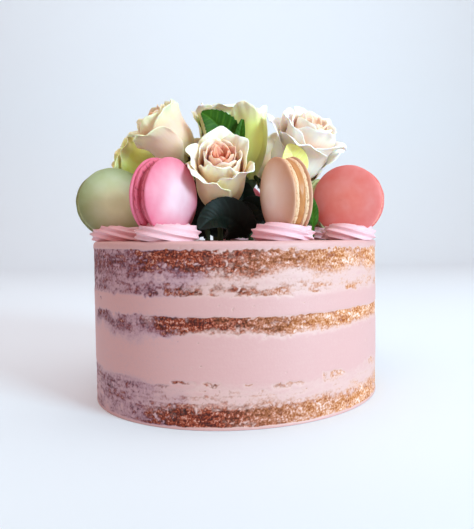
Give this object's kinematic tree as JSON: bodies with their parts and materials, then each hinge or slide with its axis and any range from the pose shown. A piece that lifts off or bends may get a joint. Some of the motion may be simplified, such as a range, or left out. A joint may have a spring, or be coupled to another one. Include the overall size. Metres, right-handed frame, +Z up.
{
  "type": "naked cake with macarons and roses",
  "caption": "Round naked layer cake with thinly scraped icing, ringed by upright macarons on piped rosettes round a posy of cream roses.",
  "frame": {"origin": "centre of the cake's round foot, on the plane it rests on", "axes": "+Z up through the cake's axis, -Y toward the side the picture shows, +X to the viewer's right"},
  "size_m": [0.1859, 0.178, 0.1881],
  "materials": {
    "sponge": "matte torn crumb of baked sponge under a thin scraped coat of pink icing",
    "buttercream": "satin, smoothed pink buttercream",
    "rosette": "satin, piped pale pink buttercream",
    "macaron_green": "matte, smooth pistachio green shell",
    "macaron_pink": "matte, smooth pink shell",
    "macaron_beige": "matte, smooth beige shell",
    "macaron_coral": "matte, smooth coral shell",
    "macaron_cream": "satin, soft cream filling",
    "rose_petal": "soft, velvety cream petals with pale green edges",
    "leaf_green": "waxy mid green leaf",
    "leaf_dark": "waxy dark green leaf",
    "petal_green": "soft lime green petal"
  },
  "bodies": {
    "root": {"filling_lower": "buttercream", "filling_upper": "buttercream", "icing_top": "buttercream", "leaf_back_left": "leaf_green", "leaf_back_middle": "leaf_green", "leaf_back_right": "leaf_green", "leaf_behind_front": "leaf_green", "leaf_guard_right": "petal_green", "leaf_inner_far": "leaf_dark", "leaf_inner_left": "leaf_dark", "leaf_inner_middle": "leaf_dark", "leaf_inner_right": "leaf_dark", "leaf_right_gap": "leaf_green", "leaf_side_left": "leaf_green", "leaf_side_right": "leaf_green", "leaf_small_top": "leaf_green", "leaf_under_behind": "leaf_dark", "leaf_under_far": "leaf_dark", "leaf_under_left": "leaf_dark", "leaf_under_middle": "leaf_dark", "leaf_under_right": "leaf_dark", "macaron_back_cream": "macaron_cream", "macaron_back_front": "macaron_pink", "macaron_back_left_cream": "macaron_cream", "macaron_back_left_front": "macaron_beige", "macaron_back_left_rear": "macaron_beige", "macaron_back_rear": "macaron_pink", "macaron_back_right_cream": "macaron_cream", "macaron_back_right_front": "macaron_green", "macaron_back_right_rear": "macaron_green", "macaron_beige_cream": "macaron_cream", "macaron_beige_front": "macaron_beige", "macaron_beige_rear": "macaron_beige", "macaron_coral_cream": "macaron_cream", "macaron_coral_front": "macaron_coral", "macaron_coral_rear": "macaron_coral", "macaron_green_cream": "macaron_cream", "macaron_green_front": "macaron_green", "macaron_green_rear": "macaron_green", "macaron_pink_cream": "macaron_cream", "macaron_pink_front": "macaron_pink", "macaron_pink_rear": "macaron_pink", "rose_back_left": "rose_petal", "rose_back_right": "rose_petal", "rose_centre": "rose_petal", "rose_front": "rose_petal", "rose_left": "rose_petal", "rose_low_left": "rose_petal", "rose_right": "rose_petal", "rose_top": "rose_petal", "rosette_back": "rosette", "rosette_back_left": "rosette", "rosette_back_right": "rosette", "rosette_beige": "rosette", "rosette_coral": "rosette", "rosette_green": "rosette", "rosette_pink": "rosette", "sponge_bottom": "sponge", "sponge_middle": "sponge", "sponge_top": "sponge"}
  },
  "joints": []
}
